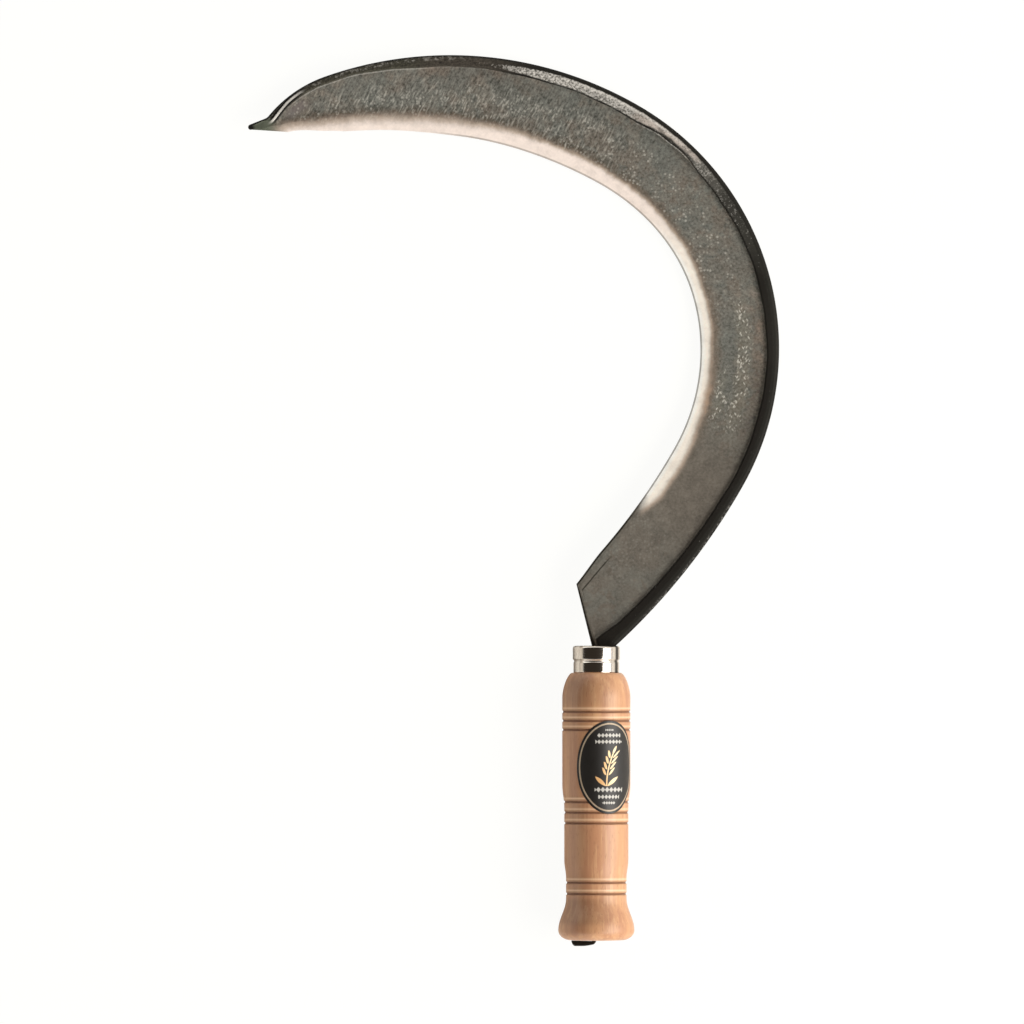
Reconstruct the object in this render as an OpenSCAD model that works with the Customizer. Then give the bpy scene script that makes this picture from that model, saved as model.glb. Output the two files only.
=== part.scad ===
/* [Handle] */
// Length of the turned handle, from the butt to the shoulder under the ferrule
handle_len = 133.5; // [118:0.5:155]
// Diameter of the barrel, the thick run under the fingers
barrel_d = 34; // [31:0.5:37]
// Length of the straight run of the barrel
barrel_len = 43.5; // [36:0.5:48]
// Diameter of the waist between the barrel and the throat
waist_d = 32; // [29:0.5:34]
// Length of the ease from the waist up to the barrel
step_len = 12; // [6:0.5:16]
// Length of the ease from the throat up to the waist
waist_ease = 9; // [6:0.5:12]
// Diameter of the throat, the thinnest run above the flare
throat_d = 30.2; // [27:0.2:32]
// Length of the straight run of the throat
throat_len = 10; // [6:0.5:12]
// Height of the middle of the throat above the butt
throat_y = 26; // [24:0.5:28]
// Diameter of the flare that stops the hand at the butt
flare_d = 38; // [35:0.5:42]
// Height of the widest ring of the flare above the butt
flare_y = 5; // [3:0.5:7]
// Diameter of the flat of the butt
butt_d = 25; // [20:0.5:30]
// Rise of the dome on the butt
butt_dome = 0.3; // [0.1:0.1:1]
// Diameter of the shoulder that the ferrule stands on
shoulder_d = 24.4; // [24:0.2:27]
// Length of the rounding from the barrel to the shoulder
shoulder_len = 12; // [8:0.5:16]

/* [Ring grooves] */
// Width of a turned groove
groove_w = 1.4; // [0.8:0.1:2]
// Depth of a turned groove
groove_depth = 0.5; // [0.3:0.1:0.6]
// Distance of the upper band's middle groove below the shoulder
upper_band = 23.9; // [20:0.1:28]
// Spacing of the grooves in the upper band
upper_pitch = 4.5; // [3:0.1:5.5]
// Height of the lower band's middle groove above the butt
lower_band_y = 63.8; // [56:0.1:72]
// Spacing of the grooves in the lower band
lower_pitch = 5.3; // [3:0.1:6]
// Spacing of the two grooves in the throat
throat_pitch = 5.6; // [3:0.1:8]

/* [Ferrule] */
// Outer diameter of the ferrule above its rolled groove
ferrule_d = 23.5; // [23:0.1:25]
// Outer diameter of the ferrule's skirt below the groove
skirt_d = 22.8; // [22.4:0.1:24]
// Length of the ferrule
ferrule_len = 13.5; // [11:0.5:20]
// Wall of the ferrule
ferrule_t = 0.9; // [0.6:0.1:1.1]
// Height of the rolled groove above the shoulder
roll_y = 6; // [4:0.2:7]
// Width of the rolled groove
roll_w = 2.2; // [1.2:0.2:3]
// Depth of the rolled groove
roll_depth = 0.5; // [0.2:0.1:0.8]
// Radius of the turned-in lip at the mouth
lip_r = 1.3; // [1.2:0.1:1.6]
// Clearance between the ferrule and the wood
ferrule_fit = 0.1; // [0.05:0.05:0.2]

/* [Label] */
// Height of the oval foil label along the handle
label_h = 46.5; // [30:0.5:50]
// Width of the label, measured round the barrel
label_w = 34; // [20:0.5:40]
// Thickness of the label
label_t = 0.15; // [0.1:0.05:0.3]
// Distance of the label's centre below the shoulder
label_drop = 47; // [40:0.5:54]
// Turn of the label's centre from the top of the handle towards the blade's back
label_turn = 22.8; // [-40:0.2:40]
// Clearance of the label from the wood
label_gap = 0.03; // [0.02:0.01:0.05]

/* [Tang] */
// Thickness of the tang
tang_t = 4.5; // [3.5:0.1:5.5]
// Width of the tang where it enters the handle
tang_w = 7; // [5:0.2:9]
// Width of the tang at the butt
tang_end_w = 4; // [3:0.2:5]
// Clearance of the tang in its slot
tang_fit = 0.15; // [0.1:0.05:0.25]
// Reach of the clenched end from the handle's axis
clench_len = 12.4; // [8:0.2:14]
// Thickness of the clenched end
clench_t = 2.5; // [2:0.1:3.5]

/* [Neck and heel] */
// Width of the neck at the ferrule's mouth
neck_w = 12; // [8:0.2:13]
// Offset of the neck from the handle's axis towards the back
neck_offset = 3.75; // [2:0.05:4]
// Distance along the back from the mouth to the heel
heel_run = 7.2; // [5:0.1:12]
// Drop of the blade's plane from the handle's line
lift = 4.05; // [0:0.05:6]
// Direction of the axis that the blade drops about
lift_turn = -33; // [-50:1:0]

/* [Back of the blade] */
// Heading of the back where it leaves the neck
back_heading = 42.6; // [38:0.1:46]
// Radius of the back along the root
root_r = 330; // [250:5:400]
// Angle that the root turns through
root_turn = 17.8; // [14:0.1:24]
// Radius of the back round the bow
bow_r = 140; // [115:1:160]
// Angle that the bow turns through
bow_turn = 89.5; // [76:0.1:98]
// Radius of the back along the crown
crown_r = 188; // [150:1:220]
// Angle that the crown turns through
crown_turn = 49.7; // [42:0.1:60]
// Radius of the back near the tip
tip_r = 64; // [48:1:80]
// Angle that the tip turns through
tip_turn = 31; // [22:0.1:36]

/* [Width of the blade] */
// Width at the heel
heel_w = 36; // [30:0.2:42]
// Width along the root
root_w = 38.5; // [33:0.2:46]
// Share of the back's length from the mouth to the root's width
root_at = 0.06; // [0.05:0.01:0.12]
// Width in the bow
bow_w = 39.8; // [33:0.2:46]
// Share of the back's length from the mouth to the bow's width
bow_at = 0.42; // [0.35:0.01:0.5]
// Width in the crown, where the blade is widest
crown_w = 43.9; // [36:0.2:50]
// Share of the back's length from the mouth to the crown's width
crown_at = 0.65; // [0.6:0.01:0.7]
// Width where the blade starts to narrow
fore_w = 40.4; // [34:0.2:46]
// Share of the back's length from the mouth to where the blade starts to narrow
fore_at = 0.8; // [0.76:0.01:0.83]
// Width near the tip
tip_w = 34.6; // [29:0.2:40]
// Share of the back's length from the mouth to the tip's width
tip_at = 0.88; // [0.86:0.01:0.9]
// Width at the point
point_w = 24.8; // [21:0.2:29]
// Share of the back's length from the mouth to the point's width
point_at = 0.96; // [0.95:0.005:0.97]
// Width at the root of the beak
beak_root_w = 12.6; // [10:0.2:15]

/* [Section of the blade] */
// Thickness of the plate beside the rib
plate_t = 2.1; // [1.6:0.1:3]
// Thickness of the plate at the top of the ground bevel
bevel_t = 1.6; // [1.2:0.1:2]
// Depth of the hollow between the rib and the bevel
hollow = 0.25; // [0:0.05:0.4]
// Thickness left at the cutting edge
edge_t = 0.3; // [0.2:0.05:0.5]
// Thickness of the edge at the heel
heel_t = 1.2; // [0.8:0.1:1.5]
// Width of the plain bevel at the heel
heel_bevel = 2.7; // [2:0.1:4]
// Share of the back's length at which the grinding starts
grind_at = 0.115; // [0.09:0.005:0.13]
// Width of the ground bevel round the bow
ground_w = 6; // [4.5:0.1:8]
// Share of the back's length at which the grinding has its full width
ground_at = 0.145; // [0.14:0.005:0.2]
// Width of the bevel in the crown, where it is widest
bevel_w = 8; // [5:0.1:9.5]
// Width of the bevel near the tip
tip_bevel = 6.9; // [5:0.1:8]
// Share of the back's length to the bevel's width near the tip
tip_bevel_at = 0.94; // [0.9:0.01:0.96]
// Width of the bevel at the root of the beak
point_bevel = 5.4; // [3:0.1:6]
// Height of the rib above the flat underside
rib_h = 4.3; // [3.4:0.1:6]
// Width of the rib at the ferrule's mouth
mouth_rib_w = 9.6; // [8:0.1:10]
// Width of the rib at the heel
heel_rib_w = 8; // [6:0.1:9]
// Width of the rib round the bow
rib_w = 6.6; // [5:0.1:8]
// Share of the back's length to the start of the rib's width round the bow
rib_at = 0.14; // [0.1:0.01:0.2]
// Share of the back's length to the end of the rib's width round the bow
rib_end_at = 0.36; // [0.3:0.01:0.42]
// Width of the rib in the crown
crown_rib_w = 7.7; // [6:0.1:9]
// Share of the back's length to the rib's width in the crown
crown_rib_at = 0.6; // [0.55:0.01:0.66]
// Share of the back's length at which the rib is half way to its width near the tip
rib_half_at = 0.83; // [0.8:0.01:0.86]
// Width of the rib near the tip
rib_tip_w = 3.9; // [3.2:0.1:5]
// Share of the back's length at which the rib has its width near the tip
rib_tip_at = 0.91; // [0.89:0.01:0.95]
// Width of the steep step at the foot of the rib
rib_foot_w = 0.8; // [0.4:0.1:1.2]
// Fall of the rib's top towards its outer edge
rib_fall = 0.3; // [0.1:0.1:0.6]
// Width of the rounded outer wall of the rib
wall_w = 2.1; // [1.2:0.1:2.4]
// Radius under the back
under_r = 0.7; // [0.4:0.1:1]

/* [Beak] */
// Radius of the hollow where the back turns into the beak
hook_r = 5; // [3:0.5:8]
// Angle that the beak turns back through
hook_turn = 29; // [20:1:45]
// Length of the straight run of the beak
beak_len = 8; // [5:0.1:10]
// Diameter of the beak's blunt end
beak_d = 2.6; // [2:0.1:4]
// Height of the beak
beak_h = 2.8; // [2.2:0.1:3.6]

/* [Hidden] */
$fn = 96;

flare_r = flare_d / 2;
butt_r = butt_d / 2;
barrel_r = barrel_d / 2;
shoulder_r = shoulder_d / 2;
shoulder_y = handle_len - shoulder_len;
barrel_y = shoulder_y - barrel_len;
mouth_y = handle_len + ferrule_len;

// The shoulder is a little flatter than an ellipse, which has a fullness of 2
shoulder_fullness = 1.6;
butt_fullness = 2;

// Places and radii of the turned form between the flare and the shoulder
wood_knots = [
    [flare_y, flare_r],
    [throat_y - throat_len / 2, throat_d / 2],
    [throat_y + throat_len / 2, throat_d / 2],
    [throat_y + throat_len / 2 + waist_ease, waist_d / 2],
    [barrel_y - step_len, waist_d / 2],
    [barrel_y, barrel_r],
    [shoulder_y, barrel_r],
];
groove_places = concat(
    [for (k = [-1:1]) handle_len - upper_band + k * upper_pitch],
    [for (k = [-1:1]) lower_band_y + k * lower_pitch],
    [for (k = [-0.5, 0.5]) throat_y + k * throat_pitch]
);

back_len = arc_len(root_r, root_turn) + arc_len(bow_r, bow_turn)
    + arc_len(crown_r, crown_turn) + arc_len(tip_r, tip_turn);
heel_f = heel_run / back_len;
back_arcs = [[root_r, root_turn], [bow_r, bow_turn], [crown_r, crown_turn], [tip_r, tip_turn]];
back_start = [neck_offset + neck_w / 2, mouth_y];

// Sizes along the back, each at its share of the back's length
width_knots = [
    [heel_f, heel_w], [root_at, root_w], [bow_at, bow_w], [crown_at, crown_w],
    [fore_at, fore_w], [tip_at, tip_w], [point_at, point_w], [1, beak_root_w],
];
rib_knots = [
    [0, heel_rib_w], [rib_at, rib_w], [rib_end_at, rib_w], [crown_rib_at, crown_rib_w],
    [rib_half_at, (crown_rib_w + rib_tip_w) / 2], [rib_tip_at, rib_tip_w], [1, rib_tip_w],
];
rib_h_knots = [[0, rib_h], [rib_half_at, rib_h], [1, beak_h]];
bevel_knots = [
    [0, heel_bevel], [grind_at, heel_bevel], [ground_at, ground_w], [bow_at, ground_w],
    [fore_at, bevel_w], [tip_bevel_at, tip_bevel], [1, point_bevel],
];
edge_knots = [[0, heel_t], [grind_at, heel_t], [ground_at, edge_t], [1, edge_t]];

// Stations along each stretch of the forging
blade_steps = 96;
neck_steps = 6;
bend_steps = 4;
hook_steps = 5;
nose_steps = 5;
wall_steps = 4;
hollow_steps = 4;
clench_steps = 2;
// Chamfer that the hammer leaves along the tang
tang_chamfer = 0.6;
// Inner radius of the clench's bend, small enough to clear the slot's square corner
bend_r = 2.5 * tang_fit;
// Turn of the nose's last ring, just short of closing
nose_end = 80;
// Height of the nose where it closes, as a share of the beak's
nose_low = 0.35;
// Share of the way from the blade's corner to the nose that the hook closes
hook_close = 0.7;
// The most that the rib, its step, its wall and the bevel may take where the forging is narrow
rib_share = 0.8;
step_share = 0.25;
wall_share = 0.45;
bevel_share = 0.6;
// Share of the rib's outer wall that stands upright
wall_upright = 0.2;
// Where a single flat cuts the rounding under the back
under_cut = 0.3;
// Heights and widths across the beak, as shares of its height and diameter
beak_side = 0.6;
beak_shoulder = 0.9;
beak_top = 0.95;
beak_bevel = 0.2;
beak_crest = 0.6;
beak_wall = 0.27;
// Steps round the turned forms
dome_steps = 4;
flare_steps = 8;
body_steps = 44;
shoulder_steps = 9;
roll_steps = 12;
lip_steps = 6;
label_steps = 24;
label_sides = 60;
// Place of the rib's width in a recipe
rib_place = 5;
// How far a cutting shape runs past what it cuts
overrun = 2;

function arc_len(r, turn) = r * turn * PI / 180;
function mix(a, b, t) = a + (b - a) * t;
function ease(a, b, t) = mix(a, b, (1 - cos(180 * t)) / 2);
function heading(a) = [cos(a), sin(a)];
function left_of(a) = [-sin(a), cos(a)];
// Falls from 1 to 0 as t goes from 0 to 1, as a quarter of an ellipse does
function quarter(t, fullness) = pow(max(0, 1 - pow(t, fullness)), 1 / fullness);

// The span of knots that holds x
function span(knots, x, i = 0) = i >= len(knots) - 2 || x <= knots[i + 1][0] ? i : span(knots, x, i + 1);
function share(knots, i, x) = min(1, max(0, (x - knots[i][0]) / (knots[i + 1][0] - knots[i][0])));
// Level at every knot, as a turner's ogee is
function eased(knots, x) =
    let (i = span(knots, x))
    ease(knots[i][1], knots[i + 1][1], share(knots, i, x));
// Runs through every knot in one sweep, with no flats
function slope(knots, i) =
    let (a = max(0, i - 1), b = min(len(knots) - 1, i + 1))
    (knots[b][1] - knots[a][1]) / (knots[b][0] - knots[a][0]);
function swept(knots, x) =
    let (
        i = span(knots, x),
        t = share(knots, i, x),
        h = knots[i + 1][0] - knots[i][0]
    )
    (2 * pow(t, 3) - 3 * pow(t, 2) + 1) * knots[i][1]
    + (pow(t, 3) - 2 * pow(t, 2) + t) * h * slope(knots, i)
    + (3 * pow(t, 2) - 2 * pow(t, 3)) * knots[i + 1][1]
    + (pow(t, 3) - pow(t, 2)) * h * slope(knots, i + 1);

// Radius of the wood at a height above the butt, with no grooves
function wood_r(y) =
    y < flare_y ? butt_r + (flare_r - butt_r) * quarter((flare_y - y) / flare_y, butt_fullness)
    : y > shoulder_y ? shoulder_r + (barrel_r - shoulder_r)
        * quarter((y - shoulder_y) / shoulder_len, shoulder_fullness)
    : eased(wood_knots, y);

// Outer radius of the ferrule at a height above the shoulder
function ferrule_r(v) =
    let (t = min(1, max(0, (v - roll_y) / roll_w + 0.5)))
    ease(skirt_d, ferrule_d, t) / 2 - roll_depth * (1 - cos(360 * t)) / 2;
ferrule_heights = concat(
    [0],
    [for (k = [0:roll_steps]) roll_y + roll_w * (k / roll_steps - 0.5)],
    [ferrule_len - lip_r]
);

// A point and a heading at a distance along a chain of tangent arcs that turn left
function along(arcs, p, a, s, i = 0) =
    let (r = arcs[i][0], full = arc_len(r, arcs[i][1]))
    s <= full || i == len(arcs) - 1
        ? let (b = a + s / r * 180 / PI) [p + r * (left_of(a) - left_of(b)), b]
        : let (b = a + arcs[i][1]) along(arcs, p + r * (left_of(a) - left_of(b)), b, s - full, i + 1);
function back_at(f) = along(back_arcs, back_start, back_heading, f * back_len);

// One section of the forging, square to its path: u runs from the cutting edge to the back and w up
// from the underside.
// A recipe is [edge, bevel width, bevel top, plate, hollow, rib width, rib top, fall, wall width, round]
function section(w, recipe) =
    let (
        rib = min(recipe[5], w * rib_share),
        foot = w - rib,
        crest = foot + min(rib_foot_w, rib * step_share),
        wall = min(recipe[8], rib * wall_share),
        bevel = min(recipe[1], foot * bevel_share),
        round_r = recipe[9],
        top = recipe[6] - recipe[7],
        mid = mix(round_r, top, wall_upright)
    )
    concat(
        [[0, 0], [w - round_r, 0], [w - round_r * under_cut, round_r * under_cut]],
        [for (k = [0:wall_steps])
            let (a = 90 * k / wall_steps)
            [w - wall * (1 - cos(a)), mid + (top - mid) * sin(a)]],
        [[crest, recipe[6]]],
        [for (t = [0:1 / hollow_steps:1])
            [mix(foot, bevel, t), mix(recipe[3], recipe[2], t) - recipe[4] * 4 * t * (1 - t)]],
        [[0, recipe[0]]]
    );
tang_recipe = [
    tang_t - tang_chamfer, tang_chamfer, tang_t, tang_t, 0,
    2 * tang_chamfer, tang_t, 0, tang_chamfer, tang_chamfer,
];
function blade_recipe(f) = [
    swept(edge_knots, f), swept(bevel_knots, f), bevel_t, plate_t, hollow,
    swept(rib_knots, f), swept(rib_h_knots, f), rib_fall, wall_w, under_r,
];
function with_rib(recipe, w) = [for (k = [0:len(recipe) - 1]) k == rib_place ? w : recipe[k]];
beak_recipe = [
    beak_h * beak_side, beak_d * beak_bevel, beak_h * beak_shoulder, beak_h * beak_top, 0,
    beak_d * beak_crest, beak_h, 0, beak_d * beak_wall, under_r,
];

// A station is [point on the back, point on the cutting edge, recipe, height scale, in the handle]
heel = back_at(heel_f);
heel_corner = heel[0] + heel_w * left_of(heel[1]);
neck_left = [neck_offset - neck_w / 2, mouth_y];
bend_c = [-tang_end_w / 2 - bend_r, bend_r - butt_dome - tang_fit];
bend_end = bend_c + [0, -bend_r - clench_t];
clench_stations = [
    for (k = [0:clench_steps - 1])
        let (t = k / clench_steps, x = mix(-clench_len, bend_c[0], t))
        [[x, bend_end[1] - butt_dome * (1 - t) / 2], [x, -tang_fit - butt_dome * t], tang_recipe, 1, true]
];
bend_stations = [
    for (k = [0:bend_steps])
        let (
            t = k / bend_steps,
            d = heading(-90 * (1 - t)),
            reach = bend_r + mix(clench_t, tang_end_w, t)
        )
        [bend_c + reach * d, bend_c + bend_r * d, tang_recipe, 1, true]
];
tang_stations = [
    for (y = [handle_len / 2, handle_len])
        let (half = mix(tang_end_w, tang_w, y / handle_len) / 2)
        [[half, y], [-half, y], tang_recipe, 1, true]
];
// The neck's sections lie aslant to the back, and the rib's width is square to the back
neck_stations = [
    for (k = [0:neck_steps - 1])
        let (
            t = k / neck_steps,
            back = back_at(heel_f * t),
            edge = mix(neck_left, heel_corner, t),
            slant = left_of(back[1]) * (edge - back[0]) / norm(edge - back[0]),
            rib = mix(mouth_rib_w, heel_rib_w, t) / slant
        )
        [back[0], edge, with_rib(blade_recipe(heel_f), rib), 1, k == 0]
];
blade_stations = [
    for (k = [0:blade_steps])
        let (f = mix(heel_f, 1, k / blade_steps), b = back_at(f))
        [b[0], b[0] + swept(width_knots, f) * left_of(b[1]), blade_recipe(f), 1, false]
];
tip = back_at(1);
tip_corner = tip[0] + beak_root_w * left_of(tip[1]);
beak_a = tip[1] - hook_turn;
hook_end = tip[0] + hook_r * (left_of(beak_a) - left_of(tip[1]));
nose_out = hook_end + beak_len * heading(beak_a);
nose_in = nose_out + beak_d * left_of(beak_a);
nose_c = (nose_out + nose_in) / 2;
hook_stations = [
    for (k = [1:hook_steps])
        let (t = k / hook_steps, a = tip[1] - hook_turn * t)
        [
            tip[0] + hook_r * (left_of(a) - left_of(tip[1])),
            mix(tip_corner, nose_in, t * hook_close),
            mix(blade_recipe(1), beak_recipe, t), 1, false
        ]
];
nose_stations = [
    for (k = [0:nose_steps])
        let (a = nose_end * k / nose_steps, c = nose_c + beak_d / 2 * sin(a) * heading(beak_a))
        [
            c - beak_d / 2 * cos(a) * left_of(beak_a), c + beak_d / 2 * cos(a) * left_of(beak_a),
            beak_recipe, mix(nose_low, 1, cos(a)), false
        ]
];
stations = concat(
    clench_stations, bend_stations, tang_stations, neck_stations,
    blade_stations, hook_stations, nose_stations
);

// The blade is drawn flat, so the stations in the handle are turned back by the drop
pivot = [0, mouth_y, -tang_t / 2];
drop_axis = [cos(lift_turn), sin(lift_turn), 0];
function turned(p, a) =
    let (
        d = p - pivot,
        along_axis = (d * drop_axis) * drop_axis,
        across = d - along_axis
    )
    pivot + along_axis + across * cos(a) + cross(drop_axis, across) * sin(a);
function ring(st) =
    let (
        back = st[0],
        edge = st[1],
        w = norm(back - edge),
        dir = (back - edge) / w
    )
    [for (q = section(w, st[2]))
        let (p = edge + q[0] * dir, z = q[1] * st[3] - tang_t / 2, p3 = [p[0], p[1], z])
        st[4] ? turned(p3, lift) : p3];
// Joins rings of equal count into one closed skin
module skin(rings) {
    n = len(rings[0]);
    last = len(rings) - 1;
    polyhedron(
        points = [for (r = rings) each r],
        faces = concat(
            [for (i = [0:last - 1], j = [0:n - 1])
                each [
                    [i * n + j, (i + 1) * n + (j + 1) % n, (i + 1) * n + j],
                    [i * n + j, i * n + (j + 1) % n, (i + 1) * n + (j + 1) % n]
                ]],
            [for (j = [1:n - 2]) [0, j + 1, j]],
            [for (j = [1:n - 2]) [last * n, last * n + j, last * n + j + 1]]
        )
    );
}

// The slot and the wood round it are drawn from the butt, and the origin is the middle of the handle
module from_butt() {
    translate([0, -handle_len / 2, 0]) children();
}

module revolved_along_y() {
    rotate([-90, 0, 0]) rotate_extrude() children();
}

module tang_slot() {
    half_t = tang_t / 2 + tang_fit;
    end = tang_end_w / 2 + tang_fit;
    root = tang_w / 2 + tang_fit;
    translate([0, 0, -half_t])
        linear_extrude(2 * half_t)
            polygon([
                [end, -overrun], [end, 0], [root, handle_len],
                [back_start[0] + tang_fit, mouth_y], [neck_left[0] - tang_fit, mouth_y],
                [-root, handle_len], [-end, 0], [-end, -overrun]
            ]);
}

// One forging: clenched end, tang, neck, crescent plate with its rib and ground bevel, and beak
module blade() {
    color("dimgray")
        from_butt()
            translate(pivot)
                rotate(a = -lift, v = drop_axis)
                    translate(-pivot)
                        skin([for (st = stations) ring(st)]);
}

module handle() {
    tenon = [for (v = ferrule_heights) [ferrule_r(v) - ferrule_t - ferrule_fit, handle_len + v]];
    profile = concat(
        [for (k = [0:dome_steps - 1]) let (t = k / dome_steps) [butt_r * t, -butt_dome * (1 - t * t)]],
        [for (k = [0:flare_steps]) let (y = flare_y * (1 - cos(90 * k / flare_steps))) [wood_r(y), y]],
        [for (k = [1:body_steps]) let (y = mix(flare_y, shoulder_y, k / body_steps)) [wood_r(y), y]],
        [for (k = [1:shoulder_steps])
            let (y = shoulder_y + shoulder_len * sin(90 * k / shoulder_steps)) [wood_r(y), y]],
        tenon,
        [
            [ferrule_d / 2 - lip_r, mouth_y - ferrule_t - ferrule_fit],
            [0, mouth_y - ferrule_t - ferrule_fit]
        ]
    );
    color("burlywood")
        from_butt()
            difference() {
                revolved_along_y()
                    difference() {
                        polygon(profile);
                        for (y = groove_places)
                            translate([wood_r(y) + groove_w / 2 - groove_depth, y]) circle(d = groove_w);
                    }
                tang_slot();
            }
}

module ferrule() {
    lip_c = [ferrule_d / 2 - lip_r, ferrule_len - lip_r];
    color("silver")
        from_butt()
            translate([0, handle_len, 0])
                revolved_along_y()
                    polygon(concat(
                        [for (v = ferrule_heights) [ferrule_r(v), v]],
                        [for (k = [1:lip_steps]) lip_c + lip_r * heading(90 * k / lip_steps)],
                        [for (k = [lip_steps:-2:2])
                            lip_c + (lip_r - ferrule_t) * heading(90 * k / lip_steps)],
                        [for (k = [len(ferrule_heights) - 1:-1:0])
                            [ferrule_r(ferrule_heights[k]) - ferrule_t, ferrule_heights[k]]]
                    ));
}

module label() {
    label_y = handle_len - label_drop;
    half_angle = label_w / barrel_d * 180 / PI;
    reach = label_h / 2 + overrun / 2;
    levels = [for (k = [0:label_steps]) label_y + mix(-reach, reach, k / label_steps)];
    color("black")
        from_butt()
            rotate([0, label_turn, 0])
                intersection() {
                    revolved_along_y()
                        polygon(concat(
                            [for (y = levels) [wood_r(y) + label_gap, y]],
                            [for (k = [label_steps:-1:0])
                                [wood_r(levels[k]) + label_gap + label_t, levels[k]]]
                        ));
                    linear_extrude(flare_d)
                        polygon([for (k = [0:label_sides - 1])
                            let (a = 360 * k / label_sides)
                            [barrel_r * sin(half_angle * cos(a)), label_y + label_h / 2 * sin(a)]]);
                }
}

blade();
handle();
ferrule();
label();
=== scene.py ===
"""The looks of the sickle: a forged blade, a turned beech handle, a plated ferrule and a foil label."""

import math

import bpy
import numpy as np
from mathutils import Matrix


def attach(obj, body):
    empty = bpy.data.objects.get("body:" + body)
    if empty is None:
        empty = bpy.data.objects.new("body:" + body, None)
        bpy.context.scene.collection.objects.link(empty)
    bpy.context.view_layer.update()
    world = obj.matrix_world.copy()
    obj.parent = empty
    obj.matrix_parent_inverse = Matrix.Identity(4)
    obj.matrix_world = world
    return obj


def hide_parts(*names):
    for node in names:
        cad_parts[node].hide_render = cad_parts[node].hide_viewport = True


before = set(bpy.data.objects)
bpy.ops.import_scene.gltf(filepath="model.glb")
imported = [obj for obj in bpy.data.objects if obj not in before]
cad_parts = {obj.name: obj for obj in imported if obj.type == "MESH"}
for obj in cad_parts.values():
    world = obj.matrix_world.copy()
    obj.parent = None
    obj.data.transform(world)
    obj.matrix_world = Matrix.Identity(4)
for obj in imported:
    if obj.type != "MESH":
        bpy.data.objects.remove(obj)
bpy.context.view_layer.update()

# Sizes of the CAD part, in mm, with y measured from the butt until a piece is placed
MM = 0.001
HANDLE_LEN = 133.5
FERRULE_LEN = 13.5
MOUTH_Y = HANDLE_LEN + FERRULE_LEN
BARREL_R = 17.0
FLARE_Y = 5.0
BUTT_R = 12.5
BUTT_DOME = 0.3
FLARE_R = 19.0
SHOULDER_R = 12.2
SHOULDER_Y = 121.5
SHOULDER_LEN = 12.0
SHOULDER_FULLNESS = 1.6
WOOD_KNOTS = [(5, 19), (21, 15.1), (31, 15.1), (40, 16), (66, 16), (78, 17), (121.5, 17)]
GROOVES = [105.1, 109.6, 114.1, 58.5, 63.8, 69.1, 23.2, 28.8]
GROOVE_R = 0.7
GROOVE_DEPTH = 0.5

FERRULE_R = 11.75
SKIRT_R = 11.4
FERRULE_T = 0.9
FERRULE_FIT = 0.1
ROLL_Y = 6.0
ROLL_W = 2.2
ROLL_DEPTH = 0.5
LIP_R = 1.3

LABEL_Y = 86.5
LABEL_HALF_H = 23.25
LABEL_HALF_W = 17.0
LABEL_T = 0.15
LABEL_GAP = 0.03
LABEL_TURN = 22.8

TANG_T = 4.5
TANG_W = 7.0
TANG_END_W = 4.0
TANG_FIT = 0.15
TANG_CHAMFER = 0.6
CLENCH_LEN = 12.4
CLENCH_T = 2.5
CLENCH_ROUND = 0.2
CLENCH_TOP_W = 1.9
CLENCH_WANE = 0.24
BEND_R = 2.5 * TANG_FIT
NECK_W = 12.0
NECK_OFFSET = 3.75
HEEL_RUN = 7.2
LIFT = 4.05
LIFT_TURN = -33.0
BACK_HEADING = 42.6
BACK_ARCS = [(330, 17.8), (140, 89.5), (188, 49.7), (64, 31)]
HOOK_R = 5.0
HOOK_TURN = 29.0
BEAK_LEN = 8.0
BEAK_D = 2.6
BEAK_H = 2.8
NOSE_END = 80.0
NOSE_LOW = 0.35
HOOK_CLOSE = 0.7

PLATE_T = 2.1
BEVEL_T = 1.6
HOLLOW = 0.25
RIB_H = 4.3
RIB_FOOT_W = 0.8
MOUTH_RIB_W = 9.6
HEEL_RIB_W = 8.0
RIB_SHARE = 0.8
RIB_FALL = 0.3
WALL_W = 2.1
UNDER_R = 0.7
WALL_UPRIGHT = 0.2
BACK_LEN = sum(math.radians(turn) * r for r, turn in BACK_ARCS)
HEEL_AT = HEEL_RUN / BACK_LEN
WIDTHS = [(HEEL_AT, 36), (0.06, 38.5), (0.42, 39.8), (0.65, 43.9), (0.8, 40.4), (0.88, 34.6), (0.96, 24.8), (1, 12.6)]
RIBS = [(0, HEEL_RIB_W), (0.14, 6.6), (0.36, 6.6), (0.6, 7.7), (0.83, 5.8), (0.91, 3.9), (1, 3.9)]
RIB_HEIGHTS = [(0, RIB_H), (0.83, RIB_H), (1, BEAK_H)]
BEVELS = [(0, 2.7), (0.115, 2.7), (0.145, 6), (0.42, 6), (0.8, 8), (0.94, 6.9), (1, 5.4)]
EDGES = [(0, 1.2), (0.115, 1.2), (0.145, 0.3), (1, 0.3)]

# Steps round one section of the blade, from the cutting edge under the plate and back over it
UNDER_STEPS = 12
ROUND_STEPS = 5
WALL_STEPS = 12
CREST_STEPS = 13
STEP_STEPS = 8
PLATE_STEPS = 28
BEVEL_STEPS = 14
EDGE_STEPS = 2
BLADE_STATIONS = 860
HANDLE_SIDES = 180

# The photograph's view: straight down on the blade and the handle
VIEW_X = -0.042107
VIEW_Y = 0.147073
VIEW_HEIGHT = 17.04456
LENS = 1200.0
SENSOR = 36.0
FLOOR_Z = -0.0191


def rgb(red, green, blue):
    """A colour as a screen shows it, 0 to 255, turned to the linear values that a shader takes."""
    parts = [c / 255 for c in (red, green, blue)]
    return tuple(c / 12.92 if c < 0.04045 else ((c + 0.055) / 1.055) ** 2.4 for c in parts) + (1.0,)


def mix(a, b, t):
    return a + (b - a) * t


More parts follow.
